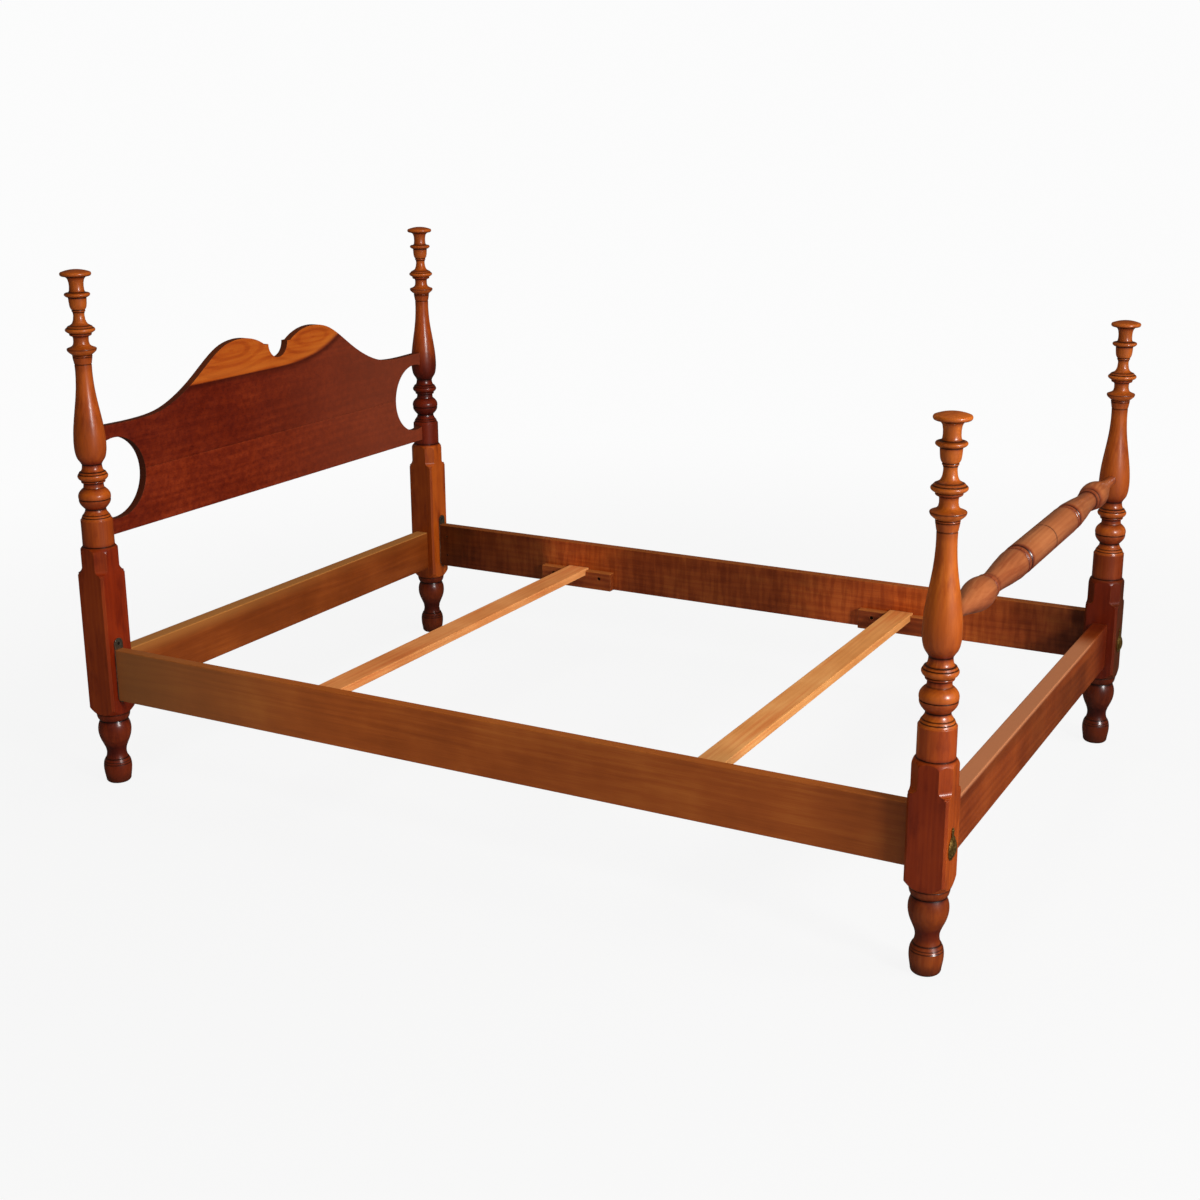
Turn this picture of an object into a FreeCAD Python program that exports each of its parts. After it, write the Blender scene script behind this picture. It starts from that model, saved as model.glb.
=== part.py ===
import FreeCAD, Part
import math
import os
from FreeCAD import Vector

# A double bed with four turned posts, a scrolled headboard, a turned blanket roll between the foot posts
# and two side rails. Each side rail hooks on to a head post and is bolted to a foot post.
# Millimetres. X runs across the bed, Y along it with the head at +Y, and Z up from the floor.
# The origin is on the floor under the middle of the bed. Left is -X.

# Layout
post_spacing_across = 1366.0
post_spacing_along = 2040.0
block_width = 80.0
foot_block_height = 257.0
head_block_height = 413.0

# Fits
glue_gap = 0.15
pin_gap = 0.06
bolt_gap = 0.3
loose_gap = 0.3
end_gap = 1.0
overrun = 5.0

# Turned parts of a post, from the floor up: height, largest radius, outline
# An outline is a list of strokes, each a list of (up, out) shares of the height and the radius.
# One point is a straight line, two are an arc and its end, and more are a smooth curve.
foot_height = 159.0
foot_radius = 39.0
foot_shares = [
    [(0.0, 0.65)],
    [(0.016, 0.72), (0.052, 0.76)],
    [(0.14, 0.82), (0.22, 0.852), (0.29, 0.838)],
    [(0.302, 0.808)],
    [(0.311, 0.823)],
    [(0.321, 0.80)],
    [(0.33, 0.805)],
    [(0.377, 0.715)],
    [(0.385, 0.672)],
    [(0.42, 0.625), (0.47, 0.595), (0.535, 0.625), (0.613, 0.745), (0.70, 0.895), (0.775, 0.975),
     (0.845, 1.0), (0.91, 0.972), (0.965, 0.90)],
    [(1.0, 0.845)],
]
foot_collar_height = 19.0
foot_collar_radius = 39.6
foot_collar_shares = [
    [(0.06, 0.865)],
    [(0.28, 0.93), (0.62, 0.978), (0.92, 1.0)],
    [(1.0, 0.97)],
]
column_height = 65.0
column_radius = 36.8
column_shares = [
    [(0.024, 1.0)],
    [(0.953, 0.995)],
    [(0.985, 0.984), (1.0, 0.945)],
]
ball_height = 77.0
ball_radius = 36.9
ball_shares = [
    [(0.045, 0.905)],
    [(0.06, 0.868)],
    [(0.075, 0.885)],
    [(0.10, 0.862), (0.125, 0.825)],
    [(0.137, 0.775)],
    [(0.15, 0.785)],
    [(0.208, 0.70), (0.273, 0.653), (0.312, 0.645)],
    [(0.32, 0.656)],
    [(0.39, 0.786), (0.468, 0.905), (0.60, 0.981)],
    [(0.616, 0.944)],
    [(0.632, 0.986)],
    [(0.69, 1.0), (0.77, 0.978), (0.84, 0.905), (0.91, 0.775), (0.96, 0.65)],
    [(1.0, 0.632)],
]
ring_height = 52.0
ring_radius = 34.6
ring_shares = [
    [(0.154, 0.66)],
    [(0.172, 0.73)],
    [(0.20, 0.785), (0.255, 0.78)],
    [(0.275, 0.735)],
    [(0.294, 0.825)],
    [(0.37, 0.945), (0.452, 1.0), (0.53, 0.985), (0.56, 0.955)],
    [(0.577, 0.895)],
    [(0.595, 0.925)],
    [(0.665, 0.865)],
    [(0.688, 0.79)],
    [(0.72, 0.745), (0.785, 0.695), (0.88, 0.662), (1.0, 0.653)],
]
vase_height = 233.0
vase_radius = 36.3
vase_shares = [
    [(0.024, 0.70), (0.054, 0.832), (0.099, 0.937), (0.167, 0.996), (0.24, 1.0), (0.348, 0.953),
     (0.476, 0.843), (0.605, 0.711), (0.734, 0.595), (0.841, 0.54), (0.94, 0.521), (0.994, 0.529)],
    [(1.0, 0.501)],
]
collar_height = 46.0
collar_radius = 32.9
collar_shares = [
    [(0.022, 0.59)],
    [(0.343, 0.672)],
    [(0.359, 0.63)],
    [(0.375, 0.66)],
    [(0.407, 0.685), (0.44, 0.665)],
    [(0.455, 0.63)],
    [(0.47, 0.685)],
    [(0.53, 0.79), (0.59, 0.89), (0.65, 0.965), (0.715, 1.0)],
    [(0.787, 0.991), (0.809, 0.93)],
    [(0.859, 0.76), (0.913, 0.635), (1.0, 0.555)],
]
upper_ring_height = 48.0
upper_ring_radius = 33.4
upper_ring_shares = [
    [(0.083, 0.518), (0.188, 0.512), (0.292, 0.524), (0.365, 0.56)],
    [(0.385, 0.66)],
    [(0.43, 0.735), (0.485, 0.745)],
    [(0.506, 0.70)],
    [(0.524, 0.80)],
    [(0.585, 0.935), (0.65, 1.0), (0.72, 0.98), (0.75, 0.94)],
    [(0.767, 0.865)],
    [(0.784, 0.885)],
    [(0.85, 0.80)],
    [(0.871, 0.715)],
    [(0.895, 0.65), (0.94, 0.553), (1.0, 0.485)],
]
cup_height = 57.0
cup_radius = 20.6
cup_shares = [
    [(0.123, 0.66), (0.25, 0.615), (0.35, 0.61), (0.405, 0.655)],
    [(0.418, 0.61)],
    [(0.431, 0.675)],
    [(0.463, 0.735), (0.496, 0.725)],
    [(0.509, 0.68)],
    [(0.522, 0.745)],
    [(0.567, 0.825), (0.64, 0.90), (0.78, 0.95), (0.91, 0.978), (1.0, 0.99)],
]
finial_ring_height = 12.0
finial_ring_radius = 28.8
finial_ring_shares = [
    [(0.033, 0.764)],
    [(0.25, 0.924), (0.55, 1.0), (0.783, 0.958), (0.883, 0.833)],
    [(1.0, 0.66)],
]
finial_height = 51.0
finial_radius = 34.8
finial_shares = [
    [(0.059, 0.494), (0.157, 0.468), (0.294, 0.463), (0.451, 0.483), (0.569, 0.534), (0.657, 0.647)],
    [(0.696, 0.819)],
    [(0.794, 1.0), (0.873, 0.954)],
    [(0.935, 0.69), (0.984, 0.345), (1.0, 0.0)],
]

# Square block of a post: turned shoulders, corner chamfers and their carved stops
block_flare_height = 22.0
block_flare_radius = 57.5
block_flare_shares = [
    [(0.0, 0.704)],
    [(0.41, 0.843), (1.0, 1.0)],
]
block_crown_height = 15.0
block_crown_radius = 44.8
block_crown_shares = [
    [(0.0, 1.0)],
    [(0.636, 0.937), (0.955, 0.85)],
    [(1.0, 0.81)],
]
edge_chamfer = 5.0
ledge_chamfer = 7.5
stop_chamfer = 11.0
wide_chamfer = 20.0
wide_chamfer_length = 63.0
stop_scoop_height = 10.0
stop_scoop_shares = (0.72, 0.45)
stop_ledge_height = 5.0

# Headboard
headboard_thickness = 20.0
headboard_bottom = 608.0
lower_board_width = 137.6
lower_tongue_height = 40.0
cutout_height = 184.0
cutout_depth = 127.0
upper_tongue_height = 36.5
shoulder_inset = 36.0
tongue_inset = 12.0
crest_rise = 139.8
crest_ledge_drop = 26.3
crest_ledge_width = 12.7
crest_notch_radius = 38.8
# Crest from the ledge to the shoulder, as (out, up) shares of the run and of the rise over the tongue
crest_shares = [(0.09, 0.974), (0.196, 1.0), (0.265, 0.938), (0.347, 0.762), (0.458, 0.447), (0.578, 0.175),
                (0.67, 0.045), (0.77, -0.005), (0.86, -0.012), (1.0, 0.0)]

# Head and foot rails
end_rail_thickness = 38.0
end_rail_bottom = 211.0
end_rail_height = 112.0
end_rail_ease = 2.0
tenon_thickness = 14.0
tenon_height = 80.0
tenon_length = 30.0

# Blanket roll, from its middle to one end: length, largest radius, outline
roll_height = 689.0
roll_barrel_radius = 32.3
roll_barrel_shares = [
    [(0.0, 0.955)],
    [(0.012, 1.0)],
    [(0.965, 1.0)],
    [(0.991, 0.975), (1.0, 0.92)],
]
roll_band_length = 26.0
roll_band_radius = 32.0
roll_band_shares = [
    [(0.04, 0.885)],
    [(0.22, 0.88)],
    [(0.28, 0.945)],
    [(0.50, 1.0), (0.72, 0.945)],
    [(0.78, 0.88)],
    [(0.96, 0.885)],
    [(1.0, 0.93)],
]
roll_taper_length = 187.0
roll_taper_radius = 31.8
roll_taper_shares = [
    [(0.015, 0.97), (0.055, 1.0), (0.209, 0.968), (0.455, 0.88), (0.62, 0.80), (0.80, 0.73), (0.97, 0.695)],
    [(1.0, 0.71)],
]
roll_bead_length = 20.0
roll_bead_radius = 26.4
roll_bead_shares = [
    [(0.08, 0.90)],
    [(0.5, 1.0), (0.90, 0.90)],
    [(1.0, 0.84)],
]
roll_knob_length = 194.0
roll_knob_radius = 31.8
roll_knob_shares = [
    [(0.02, 0.80), (0.08, 0.916), (0.17, 0.988), (0.24, 1.0), (0.33, 0.96), (0.43, 0.855), (0.555, 0.705),
     (0.68, 0.555), (0.83, 0.42), (1.0, 0.352)],
]
roll_neck_length = 26.0
roll_neck_inset = 43.0
roll_tenon_radius = 11.0

# Side rails
side_rail_offset = 7.0
side_rail_thickness = 25.4
side_rail_bottom = 216.0
side_rail_height = 127.0
side_rail_ease = 2.0

# Slats and their cleats
slat_spacing = 984.0
slat_width = 64.0
slat_thickness = 19.0
slat_rise = 5.0
slat_end_gap = 1.0
slat_ease = 1.5
cleat_length = 228.0
cleat_thickness = 20.0
cleat_height = 52.0
cleat_ease = 1.5
cleat_screw_spacing = 152.0
cleat_screw_rise = 33.0
cleat_screw_head_radius = 4.6
cleat_screw_head_height = 3.2
cleat_screw_radius = 2.3
cleat_screw_length = 36.0
cleat_screw_sink = 1.6

# Hook joint at the head
plate_width = 27.0
plate_thickness = 3.0
plate_drop = 6.0
plate_height = 160.0
plate_screw_inset = 13.0
plate_screw_head_radius = 4.2
plate_screw_head_height = 2.4
plate_screw_radius = 2.0
plate_screw_length = 28.0
hook_thickness = 3.0
hook_depth = 45.0
hook_edge = 14.0
hook_height = 98.0
hook_neck_edge = 14.0
hook_spacing = 50.0
hook_neck_height = 16.0
hook_drop = 10.0
hook_nose = 6.0
hook_slack = 0.8
hook_pin_radius = 3.0
hook_pin_cover = 4.4
hook_pin_inset = 24.0
hook_pin_edge = 20.0

# Bolt joint at the foot
bolt_rise = 49.0
bolt_radius = 4.75
bolt_length = 150.0
bolt_head_radius = 10.0
bolt_head_height = 8.0
counterbore_radius = 12.0
counterbore_depth = 16.0
nut_width = 17.0
nut_thickness = 10.0
nut_inset = 60.0
dowel_radius = 5.0
dowel_depth = 25.0
dowel_edge = 25.0

# Bolt covers
cover_width = 42.0
cover_height = 47.0
cover_depth = 9.0
cover_drop = 0.5
cover_shares = [
    [(0.74, 0.27), (0.54, 0.56), (0.0, 0.83)],
    [(0.0, 1.0)],
    [(0.15, 1.0)],
    [(0.17, 0.91)],
    [(0.46, 0.77), (0.76, 0.51), (0.94, 0.25), (1.0, 0.0)],
]
cover_inner_apex = 7.2
ear_radius = 6.0
ear_thickness = 1.6
ear_reach = 11.0
cover_pin_radius = 1.5
cover_pin_depth = 14.0
cover_pin_head_radius = 3.4
cover_pin_head_height = 2.0
cover_pin_head_shares = [
    [(0.0, 1.0)],
    [(0.55, 0.8), (0.9, 0.4), (1.0, 0.0)],
]

# Places worked out from the sizes
sides = (("left", -1), ("right", 1))
ends = (("head", 1), ("foot", -1))
up = Vector(0, 0, 1)
across = Vector(1, 0, 0)
along = Vector(0, 1, 0)
origin = Vector(0, 0, 0)
post_x = post_spacing_across / 2
post_inner_x = post_x - block_width / 2
middle_y = (cover_depth + loose_gap) / 2
head_y = middle_y + post_spacing_along / 2
foot_y = middle_y - post_spacing_along / 2
head_face_y = head_y - block_width / 2
foot_face_y = foot_y + block_width / 2
foot_outer_y = foot_y - block_width / 2
block_base = foot_height + foot_collar_height
rail_x = post_x + side_rail_offset
rail_inner_x = rail_x - side_rail_thickness / 2
rail_outer_x = rail_x + side_rail_thickness / 2
rail_top = side_rail_bottom + side_rail_height
rail_head_y = head_face_y - plate_thickness
end_rail_top = end_rail_bottom + end_rail_height
tenon_bottom = end_rail_bottom + (end_rail_height - tenon_height) / 2
headboard_shoulder = post_x - shoulder_inset
headboard_tongue_end = post_x - tongue_inset
headboard_glue_line = headboard_bottom + lower_board_width
lower_tongue_top = headboard_bottom + lower_tongue_height
upper_tongue_bottom = lower_tongue_top + cutout_height
upper_tongue_top = upper_tongue_bottom + upper_tongue_height
crest_ledge_height = upper_tongue_top + crest_rise - crest_ledge_drop
roll_tenon_start = post_x - roll_neck_inset
roll_tenon_end = post_x - tongue_inset
roll_turned_length = roll_band_length + roll_taper_length + roll_bead_length + roll_knob_length
roll_barrel_length = roll_tenon_start - roll_neck_length - roll_turned_length
cleat_top = side_rail_bottom + cleat_height
slat_top = cleat_top + slat_rise
slat_bottom = slat_top - slat_thickness
cleat_screw_height = side_rail_bottom + cleat_screw_rise
plate_bottom = side_rail_bottom - plate_drop
hook_bottom = side_rail_bottom + hook_edge
hook_neck_bottom = hook_bottom + hook_neck_edge
hook_pin_length = side_rail_thickness - hook_pin_cover
bolt_height = side_rail_bottom + bolt_rise
bolt_seat_y = foot_outer_y + counterbore_depth
nut_y = foot_face_y + nut_inset
cover_centre_height = bolt_height - cover_drop
cover_pin_height = cover_centre_height + cover_height / 2 + ear_reach


def box(x_from, x_to, y_from, y_to, z_from, z_to):
    low = Vector(min(x_from, x_to), min(y_from, y_to), min(z_from, z_to))
    return Part.makeBox(abs(x_to - x_from), abs(y_to - y_from), abs(z_to - z_from), low)


def bar(x_from, x_to, y_from, y_to, z_from, z_to, direction, ease):
    # A box with the edges that run in one direction eased
    block = box(x_from, x_to, y_from, y_to, z_from, z_to)
    long_edges = [edge for edge in block.Edges if round(abs(edge.tangentAt(0).dot(direction))) == 1]
    return block.makeFillet(ease, long_edges)


def aimed(shape, place, direction):
    # A shape built up from the origin, turned to point in a direction and moved to a place
    moved = shape.copy()
    moved.Placement = FreeCAD.Placement(place, FreeCAD.Rotation(up, direction))
    return moved


def rod(place, direction, radius, length):
    return Part.makeCylinder(radius, length, place, direction)


def scaled(height, radius, shares):
    strokes = []
    for stroke_shares in shares:
        strokes.append([(height * up_share, radius * out_share) for up_share, out_share in stroke_shares])
    return strokes


def raised(strokes, rise):
    return [[(height + rise, radius) for height, radius in stroke] for stroke in strokes]


def stroke_edge(points):
    if len(points) == 2:
        return Part.makeLine(*points)
    if len(points) == 3:
        return Part.Arc(*points).toShape().toNurbs().Edges[0]
    curve = Part.BSplineCurve()
    curve.interpolate(points)
    return curve.toShape()


def turned(strokes, start_height=0.0):
    # A solid turned about Z from strokes of (height, radius) that end on the axis
    first = Vector(0, 0, start_height)
    here = first
    edges = []
    for stroke in strokes:
        points = [here] + [Vector(radius, 0, height) for height, radius in stroke]
        edges.append(stroke_edge(points))
        here = points[-1]
    edges.append(Part.makeLine(here, first))
    return Part.makeSolid(Part.Face(Part.Wire(edges)).revolve(origin, up, 360))


def stacked(sections):
    # Strokes of several sections, one on another
    strokes = []
    base = 0.0
    for height, section_strokes in sections:
        strokes += raised(section_strokes, base)
        base += height
    return strokes


def screw(head_radius, head_height, radius, length):
    # A countersunk screw pointing up, with its head on the ground
    return turned([[(0.0, head_radius)], [(head_height, radius)], [(length, radius)], [(length, 0.0)]])


def chamfer_depth(leg):
    # Distance from the axis of a block to a corner chamfer with this leg
    return (block_width - leg) / math.sqrt(2)


def block_waste(block_height):
    # What is taken off round the square block of a post
    top = block_base + block_height
    ledge_top = top - wide_chamfer_length
    ledge_bottom = ledge_top - stop_ledge_height
    scoop_top = ledge_top + stop_scoop_height
    edge_depth = chamfer_depth(edge_chamfer)
    ledge_depth = chamfer_depth(ledge_chamfer)
    stop_depth = chamfer_depth(stop_chamfer)
    wide_depth = chamfer_depth(wide_chamfer)
    beyond = block_flare_radius + overrun
    out_share, up_share = stop_scoop_shares
    scoop_start = Vector(stop_depth, 0, ledge_top)
    scoop_reach = wide_depth - stop_depth
    scoop_middle = scoop_start + Vector(out_share * scoop_reach, 0, up_share * stop_scoop_height)
    scoop_end = Vector(wide_depth, 0, scoop_top)
    outer_corner = Vector(beyond, 0, block_base)
    lower = [
        outer_corner,
        Vector(edge_depth, 0, block_base),
        Vector(edge_depth, 0, ledge_bottom),
        Vector(ledge_depth, 0, ledge_bottom),
        Vector(ledge_depth, 0, ledge_top),
        scoop_start,
    ]
    upper = [scoop_end, Vector(wide_depth, 0, top), Vector(beyond, 0, top), outer_corner]
    edges = Part.makePolygon(lower).Edges
    edges += [Part.Arc(scoop_start, scoop_middle, scoop_end).toShape()]
    edges += Part.makePolygon(upper).Edges
    cutter = Part.Face(Part.Wire(edges)).extrude(along * 2 * beyond)
    cutter.translate(-along * beyond)
    half = block_width / 2
    block = box(-half, half, -half, half, block_base, top)
    for corner in range(4):
        corner_cutter = cutter.copy()
        corner_cutter.rotate(origin, up, 45 + 90 * corner)
        block = block.cut(corner_cutter)
    return rod(Vector(0, 0, block_base), up, beyond, block_height).cut(block)


def post_blank(block_height):
    # A whole post before any joint is cut, standing at the origin
    block_strokes = scaled(block_flare_height, block_flare_radius, block_flare_shares)
    crown_base = block_height - block_crown_height
    block_strokes.append([(crown_base, block_flare_radius)])
    block_strokes += raised(scaled(block_crown_height, block_crown_radius, block_crown_shares), crown_base)
    lower_sections = [
        (foot_height, scaled(foot_height, foot_radius, foot_shares)),
        (foot_collar_height, scaled(foot_collar_height, foot_collar_radius, foot_collar_shares)),
        (block_height, block_strokes),
    ]
    upper_sizes = [
        (column_height, column_radius, column_shares),
        (ball_height, ball_radius, ball_shares),
        (ring_height, ring_radius, ring_shares),
        (vase_height, vase_radius, vase_shares),
        (collar_height, collar_radius, collar_shares),
        (upper_ring_height, upper_ring_radius, upper_ring_shares),
        (cup_height, cup_radius, cup_shares),
        (finial_ring_height, finial_ring_radius, finial_ring_shares),
        (finial_height, finial_radius, finial_shares),
    ]
    upper_sections = [(height, scaled(height, radius, shares)) for height, radius, shares in upper_sizes]
    return turned(stacked(lower_sections + upper_sections)).cut(block_waste(block_height))


def headboard_point(side, x, z):
    return Vector(side * x, head_y, z)


def headboard_edges(side):
    # One half of the headboard's outline, from the bottom of the notch to the end of the lower tongue
    notch_middle_x = crest_notch_radius * math.sin(math.radians(45))
    notch_middle_z = crest_ledge_height - crest_notch_radius * math.cos(math.radians(45))
    notch_low = headboard_point(side, 0, crest_ledge_height - crest_notch_radius)
    notch_middle = headboard_point(side, notch_middle_x, notch_middle_z)
    notch_high = headboard_point(side, crest_notch_radius, crest_ledge_height)
    crest_start_x = crest_notch_radius + crest_ledge_width
    run = headboard_shoulder - crest_start_x
    crest = [headboard_point(side, crest_start_x, crest_ledge_height)]
    for out_share, up_share in crest_shares:
        crest_x = crest_start_x + run * out_share
        crest.append(headboard_point(side, crest_x, upper_tongue_top + crest_rise * up_share))
    upper_corner = headboard_point(side, headboard_shoulder, upper_tongue_bottom)
    lower_corner = headboard_point(side, headboard_shoulder, lower_tongue_top)
    cutout_middle_z = (upper_tongue_bottom + lower_tongue_top) / 2
    cutout_side = headboard_point(side, headboard_shoulder - cutout_depth, cutout_middle_z)
    upper_tongue = [
        crest[-1],
        headboard_point(side, headboard_tongue_end, upper_tongue_top),
        headboard_point(side, headboard_tongue_end, upper_tongue_bottom),
        upper_corner,
    ]
    lower_tongue = [
        lower_corner,
        headboard_point(side, headboard_tongue_end, lower_tongue_top),
        headboard_point(side, headboard_tongue_end, headboard_bottom),
    ]
    edges = [Part.Arc(notch_low, notch_middle, notch_high).toShape()]
    edges.append(Part.makeLine(notch_high, crest[0]))
    edges.append(stroke_edge(crest))
    edges += Part.makePolygon(upper_tongue).Edges
    edges.append(Part.Arc(upper_corner, cutout_side, lower_corner).toShape())
    edges += Part.makePolygon(lower_tongue).Edges
    return edges


def headboard():
    # The whole panel, tongues included, before it is parted at the glue line
    edges = []
    for name, side in sides:
        edges += headboard_edges(side)
    bottom_ends = [headboard_point(side, headboard_tongue_end, headboard_bottom) for name, side in sides]
    edges.append(Part.makeLine(*bottom_ends))
    panel = Part.Face(Part.Wire(Part.__sortEdges__(edges))).extrude(along * headboard_thickness)
    panel.translate(-along * headboard_thickness / 2)
    return panel


def tongue_slot(side, x_from, x_to, y, thickness, z_from, z_to):
    # A mortise for a tongue of this size
    half = thickness / 2 + glue_gap
    return box(side * (x_from - overrun), side * (x_to + end_gap), y - half, y + half,
               z_from - glue_gap, z_to + glue_gap)


def rail_tenon_slot(side, y):
    return tongue_slot(side, post_inner_x, post_inner_x + tenon_length, y, tenon_thickness,
                       tenon_bottom, tenon_bottom + tenon_height)


def hook_bottoms():
    return [hook_neck_bottom, hook_neck_bottom + hook_spacing]


def plate_screw_heights():
    return [plate_bottom + plate_screw_inset, plate_bottom + plate_height - plate_screw_inset]


def plate_screw(side, height, gap=0.0, tip_gap=0.0):
    shape = screw(plate_screw_head_radius + gap, plate_screw_head_height, plate_screw_radius + gap,
                  plate_screw_length + tip_gap)
    return aimed(shape, Vector(side * rail_x, rail_head_y, height), along)


def head_post(blank, side):
    post = blank.copy()
    post.translate(Vector(side * post_x, head_y, 0))
    cuts = [rail_tenon_slot(side, head_y)]
    cuts.append(tongue_slot(side, headboard_shoulder, headboard_tongue_end, head_y, headboard_thickness,
                            upper_tongue_bottom, upper_tongue_top))
    cuts.append(tongue_slot(side, headboard_shoulder, headboard_tongue_end, head_y, headboard_thickness,
                            headboard_bottom, lower_tongue_top))
    half = hook_thickness / 2 + hook_slack
    pocket_y = head_face_y + hook_slack + hook_nose + end_gap
    for bottom in hook_bottoms():
        pocket_top = bottom + hook_neck_height + hook_drop + hook_slack
        cuts.append(box(side * rail_x - half, side * rail_x + half, head_face_y - overrun, pocket_y,
                        bottom - hook_drop - end_gap, pocket_top))
    cuts += [plate_screw(side, height, glue_gap, end_gap) for height in plate_screw_heights()]
    return post.cut(cuts)


def foot_post(blank, side):
    post = blank.copy()
    post.translate(Vector(side * post_x, foot_y, 0))
    bolt_line = Vector(side * rail_x, foot_outer_y - overrun, bolt_height)
    pin_start = Vector(side * rail_x, foot_outer_y, cover_pin_height)
    roll_middle = Vector(0, foot_y, roll_height)
    cuts = [rail_tenon_slot(side, foot_y)]
    cuts.append(rod(roll_middle, side * across, roll_tenon_radius + glue_gap, roll_tenon_end + end_gap))
    cuts.append(rod(bolt_line, along, bolt_radius + bolt_gap, block_width + 2 * overrun))
    cuts.append(rod(bolt_line, along, counterbore_radius, counterbore_depth + overrun))
    cuts += [dowel(side, height, glue_gap, end_gap) for height in dowel_heights()]
    cuts.append(rod(pin_start, along, cover_pin_radius + pin_gap, cover_pin_depth + end_gap))
    return post.cut(cuts)


def end_rail(y):
    half = end_rail_thickness / 2
    rail = bar(-post_inner_x, post_inner_x, y - half, y + half, end_rail_bottom, end_rail_top,
               across, end_rail_ease)
    half_tenon = tenon_thickness / 2
    tenons = [box(side * post_inner_x, side * (post_inner_x + tenon_length), y - half_tenon, y + half_tenon,
                  tenon_bottom, tenon_bottom + tenon_height) for name, side in sides]
    return rail.fuse(tenons)


def blanket_roll():
    sizes = [
        (roll_barrel_length, roll_barrel_radius, roll_barrel_shares),
        (roll_band_length, roll_band_radius, roll_band_shares),
        (roll_taper_length, roll_taper_radius, roll_taper_shares),
        (roll_bead_length, roll_bead_radius, roll_bead_shares),
        (roll_knob_length, roll_knob_radius, roll_knob_shares),
    ]
    strokes = stacked([(length, scaled(length, radius, shares)) for length, radius, shares in sizes])
    strokes.append([(roll_tenon_start, roll_tenon_radius)])
    strokes.append([(roll_tenon_end, roll_tenon_radius)])
    strokes.append([(roll_tenon_end, 0.0)])
    half_roll = turned(strokes)
    middle = Vector(0, foot_y, roll_height)
    return aimed(half_roll, middle, across).fuse(aimed(half_roll, middle, -across)).removeSplitter()


def dowel_heights():
    return [side_rail_bottom + dowel_edge, rail_top - dowel_edge]


def dowel(side, height, gap=0.0, tip_gap=0.0):
    reach = dowel_depth + tip_gap
    return rod(Vector(side * rail_x, foot_face_y - reach, height), along, dowel_radius + gap, 2 * reach)


def cleat_places():
    return [(end_name, side_name, side, middle_y + end * slat_spacing / 2)
            for end_name, end in ends for side_name, side in sides]


def cleat_screw_places(y):
    return [y - cleat_screw_spacing / 2, y + cleat_screw_spacing / 2]


def cleat_screw(side, y, gap=0.0, tip_gap=0.0):
    head_x = rail_inner_x - cleat_thickness + cleat_screw_sink
    shape = screw(cleat_screw_head_radius + gap, cleat_screw_head_height, cleat_screw_radius + gap,
                  cleat_screw_length + tip_gap)
    return aimed(shape, Vector(side * head_x, y, cleat_screw_height), side * across)


def cleat_screw_hole(side, y):
    mouth = Vector(side * (rail_inner_x - cleat_thickness), y, cleat_screw_height)
    sink = rod(mouth, side * across, cleat_screw_head_radius + glue_gap, cleat_screw_sink)
    return cleat_screw(side, y, glue_gap, end_gap).fuse(sink)


def rail_hook_plate(side, gap=0.0):
    half = hook_thickness / 2 + gap
    return box(side * rail_x - half, side * rail_x + half, rail_head_y - hook_depth - gap, rail_head_y,
               hook_bottom - gap, hook_bottom + hook_height + gap)


def hook_pin_heights():
    return [hook_bottom + hook_pin_edge, hook_bottom + hook_height - hook_pin_edge]


def hook_pin(side, height, gap=0.0, tip_gap=0.0):
    start = Vector(side * rail_inner_x, rail_head_y - hook_pin_inset, height)
    return rod(start, side * across, hook_pin_radius + gap, hook_pin_length + tip_gap)


def side_rail(side):
    rail = bar(side * rail_inner_x, side * rail_outer_x, foot_face_y, rail_head_y,
               side_rail_bottom, rail_top, along, side_rail_ease)
    cuts = [rail_hook_plate(side, glue_gap)]
    cuts += [hook_pin(side, height, glue_gap, end_gap) for height in hook_pin_heights()]
    bolt_start = Vector(side * rail_x, foot_face_y - overrun, bolt_height)
    bolt_reach = bolt_seat_y + bolt_length + end_gap - bolt_start.y
    cuts.append(rod(bolt_start, along, bolt_radius + bolt_gap, bolt_reach))
    half_nut = nut_width / 2 + glue_gap
    half_thickness = nut_thickness / 2 + glue_gap
    cuts.append(box(side * rail_x - half_nut, side * rail_x + half_nut,
                    nut_y - half_thickness, nut_y + half_thickness,
                    side_rail_bottom - overrun, bolt_height + half_nut))
    cuts += [dowel(side, height, glue_gap, end_gap) for height in dowel_heights()]
    for end_name, side_name, cleat_side, y in cleat_places():
        if cleat_side == side:
            cuts += [cleat_screw(side, screw_y, glue_gap, end_gap) for screw_y in cleat_screw_places(y)]
    return rail.cut(cuts)


def slat(y):
    half_length = rail_inner_x - slat_end_gap
    half = slat_width / 2
    return bar(-half_length, half_length, y - half, y + half, slat_bottom, slat_top, across, slat_ease)


def slat_cleat(side, y):
    half = cleat_length / 2
    inner_x = rail_inner_x - cleat_thickness
    cleat = bar(side * inner_x, side * rail_inner_x, y - half, y + half, side_rail_bottom, cleat_top,
                across, cleat_ease)
    half_notch = slat_width / 2 + loose_gap
    cuts = [box(side * (inner_x - overrun), side * (rail_inner_x + overrun), y - half_notch, y + half_notch,
                slat_bottom, cleat_top + overrun)]
    cuts += [cleat_screw_hole(side, screw_y) for screw_y in cleat_screw_places(y)]
    return cleat.cut(cuts)


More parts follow.
